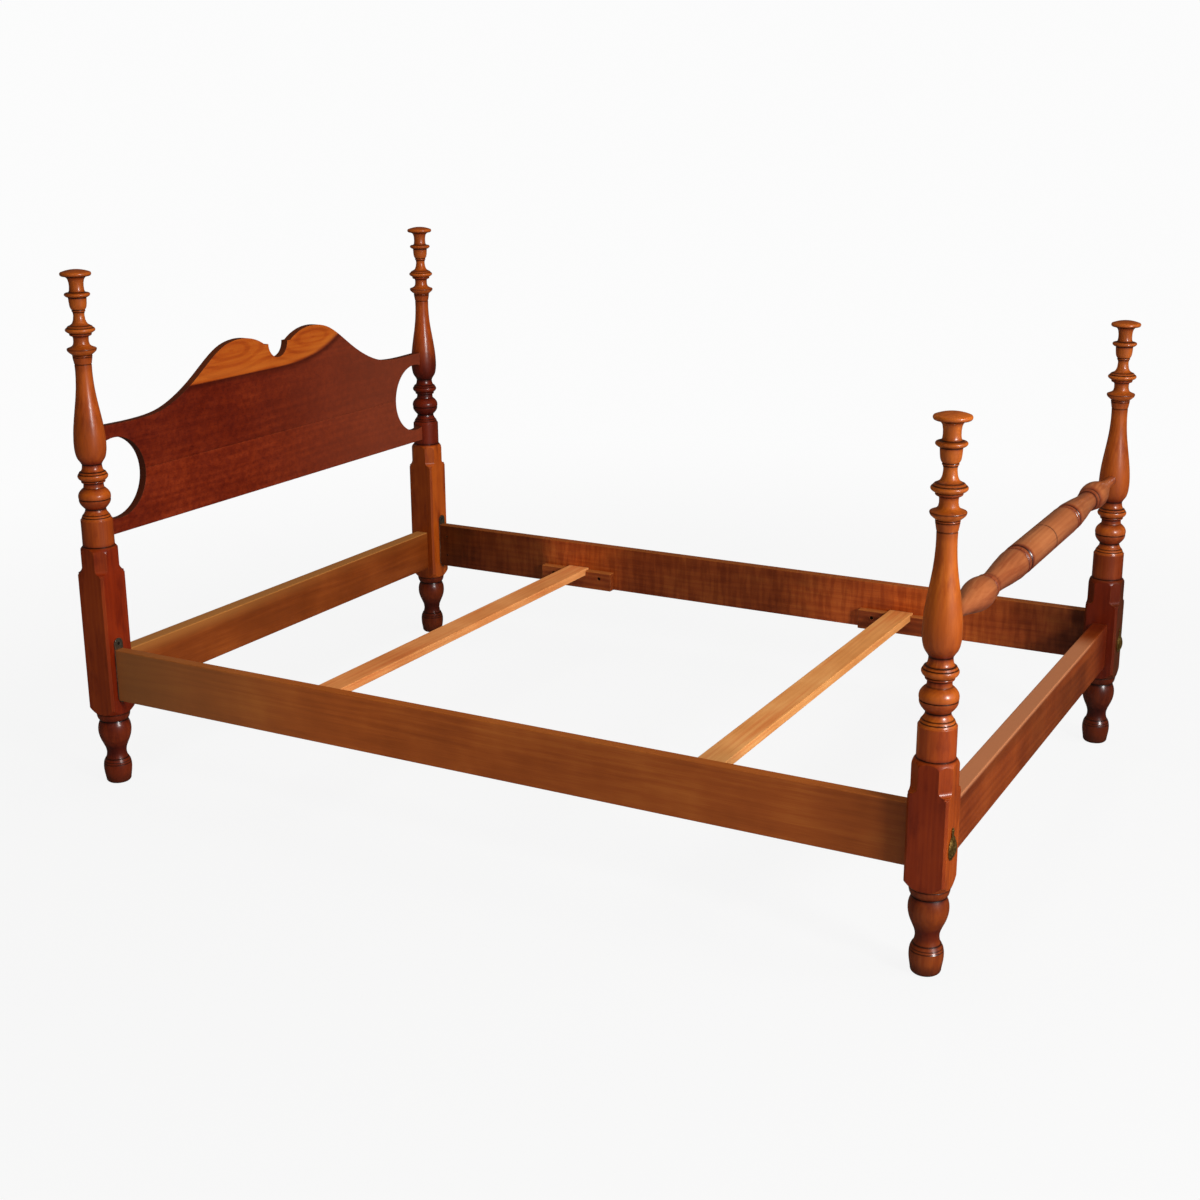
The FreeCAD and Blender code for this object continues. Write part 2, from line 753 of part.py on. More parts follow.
def post_hook_plate(side):
    half = plate_width / 2
    centre_x = side * rail_x
    low_centre = plate_bottom + half
    high_centre = plate_bottom + plate_height - half
    plate = box(centre_x - half, centre_x + half, rail_head_y, head_face_y, low_centre, high_centre)
    for height in (low_centre, high_centre):
        plate = plate.fuse(rod(Vector(centre_x, rail_head_y, height), along, half, plate_thickness))
    plate = plate.removeSplitter()
    slot_half = hook_thickness / 2 + hook_slack
    slot_height = hook_neck_height + hook_drop + hook_slack
    cuts = []
    for bottom in hook_bottoms():
        cuts.append(box(centre_x - slot_half, centre_x + slot_half, rail_head_y - overrun,
                        head_face_y + overrun, bottom, bottom + slot_height))
    cuts += [plate_screw(side, height, glue_gap) for height in plate_screw_heights()]
    return plate.cut(cuts)


def rail_hook(side):
    low_x = side * rail_x - hook_thickness / 2
    high_x = side * rail_x + hook_thickness / 2
    nose_y = head_face_y + hook_slack
    hook = rail_hook_plate(side)
    for bottom in hook_bottoms():
        top = bottom + hook_neck_height
        neck = box(low_x, high_x, rail_head_y, nose_y + hook_nose, bottom, top)
        nose = box(low_x, high_x, nose_y, nose_y + hook_nose, bottom - hook_drop, top)
        hook = hook.fuse([neck, nose])
    hook = hook.removeSplitter()
    return hook.cut([hook_pin(side, height, glue_gap) for height in hook_pin_heights()])


def bed_bolt(side):
    head_start = Vector(side * rail_x, bolt_seat_y - bolt_head_height, bolt_height)
    head = rod(head_start, along, bolt_head_radius, bolt_head_height)
    shank = rod(Vector(side * rail_x, bolt_seat_y, bolt_height), along, bolt_radius, bolt_length)
    return head.fuse(shank)


def bed_bolt_nut(side):
    half = nut_width / 2
    half_thickness = nut_thickness / 2
    nut = box(side * rail_x - half, side * rail_x + half, nut_y - half_thickness, nut_y + half_thickness,
              bolt_height - half, bolt_height + half)
    bore_start = Vector(side * rail_x, nut_y - nut_thickness, bolt_height)
    return nut.cut(rod(bore_start, along, bolt_radius + pin_gap, 2 * nut_thickness))


def bolt_cover(side):
    # Built lying on its back with its long way along Y, then stood against the face of the post
    shell = turned(scaled(cover_depth, cover_width / 2, cover_shares), cover_inner_apex)
    stretch = FreeCAD.Matrix()
    stretch.scale(1, cover_height / cover_width, 1)
    shell = shell.transformGeometry(stretch)
    pin_rise = cover_pin_height - cover_centre_height
    ear_start = cover_height / 2 - ear_radius / 2
    ear = box(-ear_radius, ear_radius, ear_start, pin_rise, 0, ear_thickness)
    ear = ear.fuse(rod(Vector(0, pin_rise, 0), up, ear_radius, ear_thickness))
    cover = shell.fuse(ear).removeSplitter()
    cover = cover.cut(rod(Vector(0, pin_rise, -overrun), up, cover_pin_radius + pin_gap, 2 * overrun))
    return aimed(cover, Vector(side * rail_x, foot_outer_y - loose_gap, cover_centre_height), -along)


def bolt_cover_pin(side):
    head_y_start = foot_outer_y - 2 * loose_gap - ear_thickness
    shank = rod(Vector(side * rail_x, head_y_start, cover_pin_height), along, cover_pin_radius,
                foot_outer_y - head_y_start + cover_pin_depth)
    dome = turned(scaled(cover_pin_head_height, cover_pin_head_radius, cover_pin_head_shares))
    return shank.fuse(aimed(dome, Vector(side * rail_x, head_y_start, cover_pin_height), -along))


# Build every piece and write it out
os.makedirs("parts", exist_ok=True)
nodes = {}

head_blank = post_blank(head_block_height)
foot_blank = post_blank(foot_block_height)
for name, side in sides:
    nodes["head_post_" + name] = head_post(head_blank, side)
    nodes["foot_post_" + name] = foot_post(foot_blank, side)
    nodes["side_rail_" + name] = side_rail(side)
    nodes["post_hook_plate_" + name] = post_hook_plate(side)
    nodes["rail_hook_" + name] = rail_hook(side)
    nodes["bed_bolt_" + name] = bed_bolt(side)
    nodes["bed_bolt_nut_" + name] = bed_bolt_nut(side)
    nodes["bolt_cover_" + name] = bolt_cover(side)
    nodes["bolt_cover_pin_" + name] = bolt_cover_pin(side)

panel = headboard()
board_half = headboard_tongue_end + overrun
board_y = (head_y - headboard_thickness, head_y + headboard_thickness)
below_glue_line = box(-board_half, board_half, *board_y, headboard_bottom - overrun, headboard_glue_line)
nodes["headboard_upper_board"] = panel.cut(below_glue_line)
nodes["headboard_lower_board"] = panel.common(below_glue_line)

nodes["head_rail"] = end_rail(head_y)
nodes["foot_rail"] = end_rail(foot_y)
nodes["blanket_roll"] = blanket_roll()

for name, end in ends:
    nodes["slat_" + name] = slat(middle_y + end * slat_spacing / 2)
for end_name, side_name, side, y in cleat_places():
    nodes["slat_cleat_" + end_name + "_" + side_name] = slat_cleat(side, y)

cleat_screws = []
for end_name, side_name, side, y in cleat_places():
    cleat_screws += [cleat_screw(side, screw_y) for screw_y in cleat_screw_places(y)]
plate_screws = []
hook_pins = []
dowels = []
for name, side in sides:
    plate_screws += [plate_screw(side, height) for height in plate_screw_heights()]
    hook_pins += [hook_pin(side, height) for height in hook_pin_heights()]
    dowels += [dowel(side, height) for height in dowel_heights()]
nodes["cleat_screws"] = Part.makeCompound(cleat_screws)
nodes["post_plate_screws"] = Part.makeCompound(plate_screws)
nodes["rail_hook_pins"] = Part.makeCompound(hook_pins)
nodes["side_rail_dowels"] = Part.makeCompound(dowels)

for name, shape in nodes.items():
    shape.exportStep("parts/" + name + ".step")
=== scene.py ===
import math
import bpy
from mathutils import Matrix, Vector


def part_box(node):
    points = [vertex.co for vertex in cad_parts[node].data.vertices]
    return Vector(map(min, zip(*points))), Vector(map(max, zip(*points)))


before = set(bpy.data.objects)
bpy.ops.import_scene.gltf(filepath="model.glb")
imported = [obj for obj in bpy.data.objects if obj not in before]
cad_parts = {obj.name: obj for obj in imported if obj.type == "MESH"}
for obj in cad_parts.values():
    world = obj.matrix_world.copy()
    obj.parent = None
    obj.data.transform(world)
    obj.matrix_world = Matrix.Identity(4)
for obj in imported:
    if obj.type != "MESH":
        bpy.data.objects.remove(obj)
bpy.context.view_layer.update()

from types import SimpleNamespace

import bpy
from mathutils import Quaternion, Vector

# Posts
# Four hardwood posts, each turned from one blank with a square block left where the rails join.
# They are stained golden brown, wiped so that the stain stays dark in the turned lines, and varnished.
block_bottom = 0.178
block_tops = {"head": 0.591, "foot": 0.435}
stain_overlap = 0.004
shoulder_heights = (-0.006, 0.002)
golden_heights = (0.30, 0.56)
handled_radii = (0.026, 0.036)
scuff_height = 0.035
pith_aside = 0.021
pith_behind = 0.034
# Scribed lines by height, half width and darkness. Those of the upper post count from the block's top,
# and stand in three lists because a colour ramp takes no more than 32 stops.
foot_lines = ((0.0470, 0.0018, 0.9), (0.0530, 0.0018, 0.8), (0.0605, 0.0026, 0.9), (0.1588, 0.0036, 1.0),
              (0.1773, 0.0024, 0.9))
ball_lines = ((0.0008, 0.0026, 1.0), (0.0696, 0.0022, 1.0), (0.0755, 0.0020, 0.9), (0.0890, 0.0040, 1.0),
              (0.1124, 0.0026, 1.0), (0.1390, 0.0024, 0.6), (0.1500, 0.0028, 1.0), (0.1563, 0.0022, 1.0),
              (0.1720, 0.0022, 1.0), (0.1778, 0.0024, 1.0))
vase_lines = ((0.1950, 0.0034, 1.0), (0.4267, 0.0024, 0.8), (0.4435, 0.0019, 1.0), (0.4479, 0.0019, 1.0),
              (0.4615, 0.0022, 0.8), (0.4912, 0.0026, 1.0), (0.4973, 0.0020, 1.0), (0.5098, 0.0020, 1.0),
              (0.5148, 0.0020, 0.9))
top_lines = ((0.5448, 0.0021, 1.0), (0.5500, 0.0020, 1.0), (0.5782, 0.0034, 1.0), (0.5900, 0.0024, 0.9),
             (0.6250, 0.0036, 1.0))
# Stain left in the hollows together with painted shade there, by height and darkness. Those of the
# waist and the crown count from the block's top.
foot_hollow_stain_and_shade = ((0.0, 0.7), (0.014, 0.3), (0.026, 0.0), (0.046, 0.15), (0.062, 0.4), (0.076, 0.7),
                (0.090, 0.8), (0.102, 0.45), (0.116, 0.1), (0.130, 0.0), (0.150, 0.3), (0.159, 0.8),
                (0.166, 0.2), (0.172, 0.1), (0.178, 0.5))
waist_hollow_stain_and_shade = ((0.0, 0.5), (0.010, 0.0), (0.062, 0.1), (0.082, 0.15), (0.090, 0.9), (0.099, 0.65),
                 (0.107, 0.6), (0.113, 0.45), (0.120, 0.2), (0.128, 0.1), (0.140, 0.4), (0.150, 0.8),
                 (0.158, 0.3), (0.166, 0.05), (0.174, 0.2), (0.184, 0.15), (0.196, 0.9), (0.206, 0.5),
                 (0.225, 0.35), (0.290, 0.2), (0.330, 0.0))
crown_hollow_stain_and_shade = ((0.405, 0.0), (0.424, 0.35), (0.432, 0.3), (0.446, 0.5), (0.454, 0.1), (0.462, 0.4),
                 (0.468, 0.1), (0.482, 0.25), (0.492, 0.8), (0.500, 0.3), (0.505, 0.0), (0.514, 0.35),
                 (0.524, 0.1), (0.538, 0.05), (0.548, 0.4), (0.556, 0.05), (0.566, 0.0), (0.572, 0.1),
                 (0.578, 0.7), (0.584, 0.1), (0.591, 0.35), (0.600, 0.1), (0.612, 0.15), (0.625, 0.7),
                 (0.632, 0.05), (0.640, 0.3))


def stain(red, green, blue):
    # A colour on a paint chart, 0 to 255, as the linear colour that a shader takes
    return [(part / 255) ** 2.2 for part in (red, green, blue)] + [1.0]


# Stain and painted shade in the hollows take one colour, and stain in the scribed lines another
hollow_stain_and_shade = stain(150, 58, 36)
line_stain = stain(30, 11, 5)


def feed(tree, socket, value):
    # Links an input to another node's output, or gives it a fixed value
    if isinstance(value, bpy.types.NodeSocket):
        tree.links.new(value, socket)
    else:
        socket.default_value = value


def add(tree, kind, inputs, **settings):
    node = tree.nodes.new("ShaderNode" + kind)
    for setting, value in settings.items():
        setattr(node, setting, value)
    for socket, value in inputs.items():
        feed(tree, node.inputs[socket], value)
    return node


def maths(tree, operation, *values):
    return add(tree, "Math", dict(enumerate(values)), operation=operation).outputs[0]


def vector_maths(tree, operation, *values):
    # A length or a dot product is a number, and any other result a vector
    node = add(tree, "VectorMath", dict(enumerate(values)), operation=operation)
    return node.outputs["Value" if operation in ("LENGTH", "DOT_PRODUCT") else "Vector"]


def between(tree, value, low, high, out_low=0.0, out_high=1.0):
    # Goes smoothly from one value to another as a number goes from low to high
    inputs = {"Value": value, "From Min": low, "From Max": high, "To Min": out_low, "To Max": out_high}
    return add(tree, "MapRange", inputs, interpolation_type="SMOOTHSTEP").outputs["Result"]


def noise(tree, place, scale, detail=2.0, roughness=0.5, output="Fac"):
    inputs = {"Vector": place, "Scale": scale, "Detail": detail, "Roughness": roughness}
    return add(tree, "TexNoise", inputs).outputs[output]


def drawn_out(tree, place, centre=(0.0, 0.0, 0.0), **stretches):
    # A pattern's own place: counted from a centre, and stretched along the axes that are named
    scale = [stretches.get(axis, 1.0) for axis in "XYZ"]
    inputs = {"Vector": place, "Location": centre, "Scale": scale}
    return add(tree, "Mapping", inputs, vector_type="TEXTURE").outputs["Vector"]


def ramp(tree, factor, stops, interpolation="LINEAR"):
    node = add(tree, "ValToRGB", {"Fac": factor})
    node.color_ramp.interpolation = interpolation
    elements = node.color_ramp.elements
    elements[0].position, elements[0].color = stops[0]
    elements[1].position, elements[1].color = stops[-1]
    for position, colour in stops[1:-1]:
        elements.new(position).color = colour
    return node.outputs["Color"]


def mix(tree, factor, under, over, blend="MIX"):
    node = add(tree, "Mix", {0: factor}, data_type="RGBA", blend_type=blend)
    colours = [socket for socket in node.inputs if socket.type == "RGBA"]
    for socket, colour in zip(colours, (under, over)):
        feed(tree, socket, colour)
    return [socket for socket in node.outputs if socket.type == "RGBA"][0]


def new_material(name):
    material = bpy.data.materials.new(name)
    material.use_nodes = True
    return material


def start_wood(name, along, pith, dark, middle, light, ring_width=0.007, wander=0.03, ring_share=0.10,
               fibre_share=0.30, streak_share=0.30):
    # Growth rings about a pith line, long fibres and soft patches, as one colour
    ring_stretch = 9.0
    fibre_stretch = 34.0
    patch_share = 1.0 - ring_share - fibre_share - streak_share
    material = new_material(name)
    tree = material.node_tree
    place = add(tree, "TexCoord", {}).outputs["Object"]
    ring_place = drawn_out(tree, place, pith, **{along: ring_stretch})
    fibre_place = drawn_out(tree, place, pith, **{along: fibre_stretch})
    drift = vector_maths(tree, "SUBTRACT", noise(tree, ring_place, 9.0, output="Color"), (0.5, 0.5, 0.5))
    wandering = vector_maths(tree, "MULTIPLY_ADD", drift, (wander, wander, wander), ring_place)
    # At scale 1 a wave texture's rings are a twentieth of 2 pi apart
    ring_scale = 2 * math.pi / (20 * ring_width)
    rings = add(tree, "TexWave", {"Vector": wandering, "Scale": ring_scale, "Distortion": 1.2,
                                  "Detail": 2.0, "Detail Scale": 1.5},
                wave_type="RINGS", rings_direction=along).outputs["Fac"]
    fibres = noise(tree, fibre_place, 420.0, detail=4.0, roughness=0.6)
    streaks = noise(tree, fibre_place, 75.0)
    patches = noise(tree, place, 6.0, detail=3.0)
    figure = maths(tree, "MULTIPLY", rings, ring_share)
    figure = maths(tree, "MULTIPLY_ADD", fibres, fibre_share, figure)
    figure = maths(tree, "MULTIPLY_ADD", streaks, streak_share, figure)
    figure = maths(tree, "MULTIPLY_ADD", patches, patch_share, figure)
    colour = ramp(tree, figure, [(0.34, dark), (0.50, middle), (0.66, light)])
    return SimpleNamespace(material=material, tree=tree, place=place, fibres=fibres, streaks=streaks,
                           patches=patches, figure=figure, colour=colour)


def tint(wood, factor, colour, blend="MIX"):
    wood.colour = mix(wood.tree, factor, wood.colour, colour, blend)


def axis_place(wood, axis):
    return add(wood.tree, "SeparateXYZ", {0: wood.place}).outputs[axis]


def faces_along(tree, axis):
    # 1 on a face that looks straight along the axis, either way, and 0 on one that looks across it
    facing = add(tree, "NewGeometry", {}).outputs["Normal"]
    return maths(tree, "ABSOLUTE", add(tree, "SeparateXYZ", {0: facing}).outputs[axis])


def shading(tree, place, points):
    # Follows points of place and strength smoothly, and keeps the end strengths beyond them
    first, last = points[0][0], points[-1][0]
    reach = {"Value": place, "From Min": first, "From Max": last}
    share = add(tree, "MapRange", reach).outputs["Result"]
    stops = []
    for point, strength in points:
        stops.append(((point - first) / (last - first), [strength, strength, strength, 1.0]))
    return ramp(tree, share, stops, "EASE")


def scribed(tree, place, lines):
    # Rises to each line's darkness over its half width, and is nothing between the lines
    clearance = 0.005
    points = [(lines[0][0] - clearance, 0.0)]
    for middle, half_width, darkness in lines:
        points += [(middle - half_width, 0.0), (middle, darkness), (middle + half_width, 0.0)]
    points.append((lines[-1][0] + clearance, 0.0))
    return shading(tree, place, points)


def eased_edges(tree, radius):
    # The normal with the edges rounded over, and how nearly it agrees with the face's own
    eased = add(tree, "Bevel", {"Radius": radius}, samples=6).outputs["Normal"]
    facing = add(tree, "NewGeometry", {}).outputs["Normal"]
    return eased, vector_maths(tree, "DOT_PRODUCT", eased, facing)


def set_surface(tree, inputs):
    surface = tree.nodes["Principled BSDF"]
    for socket, value in inputs.items():
        feed(tree, surface.inputs[socket], value)


def varnish(wood, worn, roughness=0.45, coat=0.5, edge_radius=0.003, edge_wear=0.5, dull_part=None):
    # Eased and rubbed edges, a slightly uneven varnish and the faint relief of the grain
    tree = wood.tree
    eased, agreement = eased_edges(tree, edge_radius)
    edge = between(tree, agreement, 0.995, 0.90)
    rubbed = between(tree, noise(tree, wood.place, 45.0, detail=3.0), 0.38, 0.62)
    wear = maths(tree, "MULTIPLY", maths(tree, "MULTIPLY", edge, rubbed), edge_wear)
    coat_weight = coat
    if dull_part is not None:
        # Only this part has rubbed edges, and it has lost half of its varnish
        wear = maths(tree, "MULTIPLY", wear, dull_part)
        coat_weight = between(tree, dull_part, 0.0, 1.0, coat, coat / 2)
    tint(wood, wear, worn)
    haze = noise(tree, wood.place, 14.0, detail=4.0, roughness=0.6)
    uneven = between(tree, haze, 0.3, 0.7, roughness - 0.05, roughness + 0.08)
    uneven = maths(tree, "MULTIPLY_ADD", wood.fibres, 0.05, uneven)
    relief = maths(tree, "MULTIPLY_ADD", wood.streaks, 0.5, wood.fibres)
    relief = maths(tree, "MULTIPLY_ADD", noise(tree, wood.place, 30.0), 0.4, relief)
    bump = add(tree, "Bump", {"Strength": 0.14, "Distance": 0.0009, "Height": relief, "Normal": eased})
    set_surface(tree, {
        "Base Color": wood.colour,
        "Roughness": uneven,
        "Normal": bump.outputs["Normal"],
        "Specular IOR Level": 0.18,
        "Coat Weight": coat_weight,
        "Coat Roughness": 0.26,
    })
    return wood.material


def dress(node_name, material):
    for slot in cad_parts[node_name].material_slots:
        slot.material = material


def post_wood(node_name, block_top, waist_fade, upper_stain, waist_stain, front_stain_and_light, side_stain_and_light,
              foot_stain):
    low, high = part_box(node_name)
    centre = (low + high) / 2
    # The pith is off the post's axis, and each post is cut from another length of the grain
    cut_from = 0.3 * centre.x + 0.2 * centre.y
    pith = (centre.x + pith_aside, centre.y + pith_behind, cut_from)
    wood = start_wood(node_name + "_wood", "Z", pith,
                      stain(144, 66, 16), stain(168, 82, 22), stain(188, 100, 31),
                      ring_share=0.06, fibre_share=0.26, streak_share=0.26)
    tree = wood.tree
    height = axis_place(wood, "Z")
    above_block = maths(tree, "SUBTRACT", height, block_top)
    # The foot, the block, the waist over it and the upper post each take a stain of their own
    from_block = between(tree, height, block_bottom - stain_overlap, block_bottom + stain_overlap)
    from_waist = between(tree, above_block, *shoulder_heights)
    from_upper = between(tree, above_block, *waist_fade)
    block_part = maths(tree, "SUBTRACT", from_block, from_waist)
    # The block's faces that look along X and those that look along Y differ in painted light and shade
    block_side_light_mask = between(tree, faces_along(tree, "X"), 0.4, 0.95)
    block_stain_and_light = mix(tree, block_side_light_mask, front_stain_and_light, side_stain_and_light)
    column_stain = mix(tree, from_upper, waist_stain, upper_stain)
    post_stain = mix(tree, from_block, foot_stain, block_stain_and_light)
    post_stain = mix(tree, from_waist, post_stain, column_stain)
    tint(wood, 1.0, post_stain, "MULTIPLY")
    streak_place = drawn_out(tree, wood.place, pith, Z=4.0)
    cloudy = noise(tree, streak_place, 38.0, detail=4.0, roughness=0.62)
    tint(wood, between(tree, cloudy, 0.46, 0.68, out_high=0.55), stain(176, 130, 112), "MULTIPLY")
    # Hands have worn the widest turnings, and light has turned the slim top golden
    from_axis = vector_maths(tree, "SUBTRACT", wood.place, (centre.x, centre.y, 0.0))
    from_axis = vector_maths(tree, "MULTIPLY", from_axis, (1.0, 1.0, 0.0))
    radius = vector_maths(tree, "LENGTH", from_axis)
    handled = maths(tree, "MULTIPLY", between(tree, radius, *handled_radii, out_high=0.25), from_upper)
    tint(wood, handled, stain(194, 100, 34))
    golden = between(tree, above_block, *golden_heights, out_high=0.25)
    tint(wood, golden, stain(198, 110, 40))
    # Stain and painted shade darken the hollows, and stain darkens the scribed lines
    foot_shade = shading(tree, height, foot_hollow_stain_and_shade + ((block_bottom + stain_overlap, 0.0),))
    waist_shade = maths(tree, "MULTIPLY", shading(tree, above_block, waist_hollow_stain_and_shade), from_waist)
    crown_shade = shading(tree, above_block, crown_hollow_stain_and_shade)
    for shade in (foot_shade, waist_shade, crown_shade):
        tint(wood, shade, hollow_stain_and_shade, "MULTIPLY")
    tint(wood, scribed(tree, height, foot_lines), line_stain)
    for lines in (ball_lines, vase_lines, top_lines):
        tint(wood, scribed(tree, above_block, lines), line_stain)
    scuffed = maths(tree, "MULTIPLY", between(tree, height, scuff_height, 0.0), wood.streaks)
    tint(wood, scuffed, stain(70, 34, 18))
    return varnish(wood, stain(196, 108, 46), coat=0.8, edge_radius=0.0014, edge_wear=0.4,
                   dull_part=block_part)


# The waist's stain fades into the upper post's between the two heights of its fade
# The block's front and side tones carry painted light and shade besides stain
post_stains = {
    "head_post_left": {
        "waist_fade": (0.060, 0.070),
        "upper_stain": stain(248, 226, 222),
        "waist_stain": stain(226, 198, 192),
        "front_stain_and_light": stain(186, 116, 92),
        "side_stain_and_light": stain(202, 158, 154),
        "foot_stain": stain(174, 127, 112),
    },
    "head_post_right": {
        "waist_fade": (0.22, 0.36),
        "upper_stain": stain(240, 206, 208),
        "waist_stain": stain(160, 102, 82),
        "front_stain_and_light": stain(255, 236, 236),
        "side_stain_and_light": stain(200, 176, 172),
        "foot_stain": stain(156, 119, 84),
    },
    "foot_post_left": {
        "waist_fade": (0.060, 0.070),
        "upper_stain": stain(255, 250, 240),
        "waist_stain": stain(218, 178, 142),
        "front_stain_and_light": stain(226, 198, 160),
        "side_stain_and_light": stain(184, 130, 98),
        "foot_stain": stain(192, 170, 170),
    },
    "foot_post_right": {
        "waist_fade": (0.060, 0.070),
        "upper_stain": stain(230, 218, 232),
        "waist_stain": stain(172, 138, 116),
        "front_stain_and_light": stain(118, 101, 128),
        "side_stain_and_light": stain(142, 88, 66),
        "foot_stain": stain(130, 98, 78),
    },
}
for post, stains in post_stains.items():
    end = post.split("_")[0]
    dress(post, post_wood(post, block_tops[end], **stains))

# Headboard
# Two cherry boards glued edge to edge and sawn to a scrolled outline, tongued into the head posts.
# The upper board has a strip of pale sapwood along its crest, with oval figure in both lobes.
sapwood_height = 0.916
sapwood_rise = 1.5
sapwood_power = 2.5
sapwood_waver = 0.006
sapwood_blend = 0.004
sapwood_blend_growth = 0.06
bright_strip_rise = (0.004, 0.012)
bright_strip_fall = (0.030, 0.014)
dark_line_rise = (-0.016, -0.001)
dark_line_fall = (0.005, 0.0)
lobe_ovals = ((-0.185, 0.984), (0.150, 0.978))
oval_length = 0.105
oval_height = 0.030
oval_depth = 1000.0
oval_lines = 3.2
oval_share = 0.12


def board_wood(name, pith, dark, middle, light):
    # Plain boards with a fine mottle and short flecks, and a painted sheen growing towards the right
    wood = start_wood(name, "X", pith, dark, middle, light, ring_width=0.016, wander=0.10,
                      ring_share=0.08, fibre_share=0.24, streak_share=0.26)
    tree = wood.tree
    mottle = noise(tree, wood.place, 55.0, detail=4.0, roughness=0.7)
    tint(wood, between(tree, mottle, 0.38, 0.62, out_high=0.6), stain(196, 150, 136), "MULTIPLY")
    fleck_place = drawn_out(tree, wood.place, X=2.5)
    flecks = noise(tree, fleck_place, 210.0, detail=3.0, roughness=0.7)
    tint(wood, between(tree, flecks, 0.50, 0.68, out_high=0.5), stain(180, 140, 128), "MULTIPLY")
    # Painted sheen of reflected light, stronger towards the right
    painted_sheen = between(tree, axis_place(wood, "X"), -0.25, 0.55, out_high=0.5)
    tint(wood, painted_sheen, stain(126, 64, 43))
    return wood


def dark_sawn_edge(wood):
    # The sawn edge of a board soaks up more stain than its face
    sawn = between(wood.tree, faces_along(wood.tree, "Y"), 0.7, 0.4, out_high=0.9)
    tint(wood, sawn, stain(78, 38, 24))


def band(tree, value, rise, fall, strength):
    # Rises over one stretch of the value and falls again over another
    inside = maths(tree, "MULTIPLY", between(tree, value, *rise), between(tree, value, *fall))
    return maths(tree, "MULTIPLY", inside, strength)


low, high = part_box("headboard_upper_board")
upper_pith = (0.0, low.y - 0.30, 0.62)
upper = board_wood("upper_board_wood", upper_pith, stain(88, 25, 8), stain(103, 33, 12), stain(118, 42, 17))
tree = upper.tree
across_board = maths(tree, "MAXIMUM", axis_place(upper, "X"), 0.0)
sap_line = maths(tree, "POWER", across_board, sapwood_power)
sap_line = maths(tree, "MULTIPLY_ADD", sap_line, sapwood_rise, sapwood_height)
waver = maths(tree, "MULTIPLY_ADD", upper.streaks, sapwood_waver, -sapwood_waver / 2)
over_line = maths(tree, "SUBTRACT", axis_place(upper, "Z"), maths(tree, "ADD", sap_line, waver))
oval_reaches = []
for oval_x, oval_z in lobe_ovals:
    oval_place = drawn_out(tree, upper.place, (oval_x, 0.0, oval_z),
                           X=oval_length, Y=oval_depth, Z=oval_height)
    oval_reaches.append(vector_maths(tree, "LENGTH", oval_place))
ovals = maths(tree, "MULTIPLY_ADD", upper.patches, 0.9, maths(tree, "MINIMUM", *oval_reaches))
oval_wave = maths(tree, "SINE", maths(tree, "MULTIPLY", ovals, oval_lines * math.pi))
oval_wave = between(tree, oval_wave, -1.0, 0.2)
plain_figure = maths(tree, "MULTIPLY", upper.figure, 1.0 - oval_share)
sap_figure = maths(tree, "MULTIPLY_ADD", oval_wave, oval_share, plain_figure)
sapwood = ramp(tree, sap_figure, [(0.36, stain(144, 60, 17)), (0.52, stain(164, 75, 22)),
                                  (0.68, stain(177, 90, 29))])
blend_width = maths(tree, "MULTIPLY_ADD", across_board, sapwood_blend_growth, sapwood_blend)
tint(upper, between(tree, maths(tree, "DIVIDE", over_line, blend_width), 0.0, 1.0), sapwood)
tint(upper, band(tree, over_line, bright_strip_rise, bright_strip_fall, 0.4), stain(188, 102, 37))
tint(upper, band(tree, over_line, dark_line_rise, dark_line_fall, 0.6), stain(52, 15, 6))
dark_sawn_edge(upper)
dress("headboard_upper_board",
      varnish(upper, stain(150, 74, 40), roughness=0.52, coat=0.2, edge_wear=0.2))

lower_pith = (-0.45, low.y - 0.05, 0.60)
lower = board_wood("lower_board_wood", lower_pith,
                   stain(96, 29, 10), stain(113, 38, 14), stain(130, 48, 20))
dark_sawn_edge(lower)
dress("headboard_lower_board",
      varnish(lower, stain(160, 84, 46), roughness=0.52, coat=0.2, edge_wear=0.2))

# Head and foot rails
# Two hardwood rails tenoned into the posts, one under the headboard and one across the foot.
# The head rail has faded to a golden olive brown, and the foot rail has kept its red.
faded_heights = (0.285, 0.325)
faded_length = (0.25, -0.45)
shaded_length = (0.10, 0.50)
upper_edge_heights = (0.285, 0.307)
sunned_and_sheened_length = (0.54, 0.42)
shadowed_length = (0.50, 0.61)
# Tone of the foot rail's face and of its upper edge, by place along the rail
face_tone = ((-0.55, 1.0), (-0.20, 0.96), (-0.10, 0.80), (0.0, 0.68), (0.10, 0.76), (0.25, 0.62),
             (0.40, 0.66), (0.50, 0.88), (0.62, 0.92))
edge_tone = ((-0.55, 0.74), (-0.30, 0.66), (0.0, 0.59), (0.10, 0.74), (0.20, 0.80), (0.35, 0.96),
             (0.45, 0.92), (0.62, 0.92))


def rail_wood(name, along, pith, dark, middle, light):
    return start_wood(name, along, pith, dark, middle, light, ring_width=0.012, wander=0.06,
                      ring_share=0.06, fibre_share=0.26, streak_share=0.18)


def bleached_and_sheened_top(wood, top, colour, strength=0.8, depth=0.003):
    # The upper face and its eased edges, bleached by light and rubbed by bedding, with a painted sheen of
    # top light
    fully_bleached = 0.0008
    top_face = between(wood.tree, axis_place(wood, "Z"), top - depth, top - fully_bleached)
    tint(wood, maths(wood.tree, "MULTIPLY", top_face, strength), colour)


